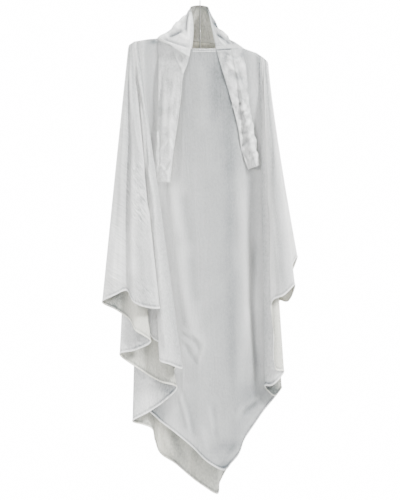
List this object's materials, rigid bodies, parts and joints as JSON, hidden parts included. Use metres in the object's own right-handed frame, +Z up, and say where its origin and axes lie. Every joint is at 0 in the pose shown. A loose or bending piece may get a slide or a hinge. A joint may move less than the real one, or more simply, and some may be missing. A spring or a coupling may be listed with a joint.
{
  "type": "hooded prayer cape (hijab dress) on a hanger",
  "caption": "Long white hooded prayer cape on a hanger: smooth pointed front, longer back, side flutes in cascades, turned-down collar, loose ties and an upright hood round the hook.",
  "frame": {"origin": "the point under the bend of the hook that the rail bears on", "axes": "+Z up, +X to the viewer's right as the front is seen, the front faces -Y"},
  "size_m": [0.6141, 0.2205, 1.5556],
  "materials": {
    "crepe": "matte white crepe with a faint crinkle",
    "bar_wood": "satin varnished beech",
    "hook_wire": "dull dark grey lacquered wire"
  },
  "bodies": {
    "root": {"cape_front": "crepe", "cape_back": "crepe", "hood": "crepe", "hood_collar_left": "crepe", "face_band_right": "crepe", "tie_left": "crepe", "tie_right": "crepe", "chin_binding": "crepe", "hanger_bar": "bar_wood", "hanger_hook": "hook_wire"}
  },
  "joints": []
}
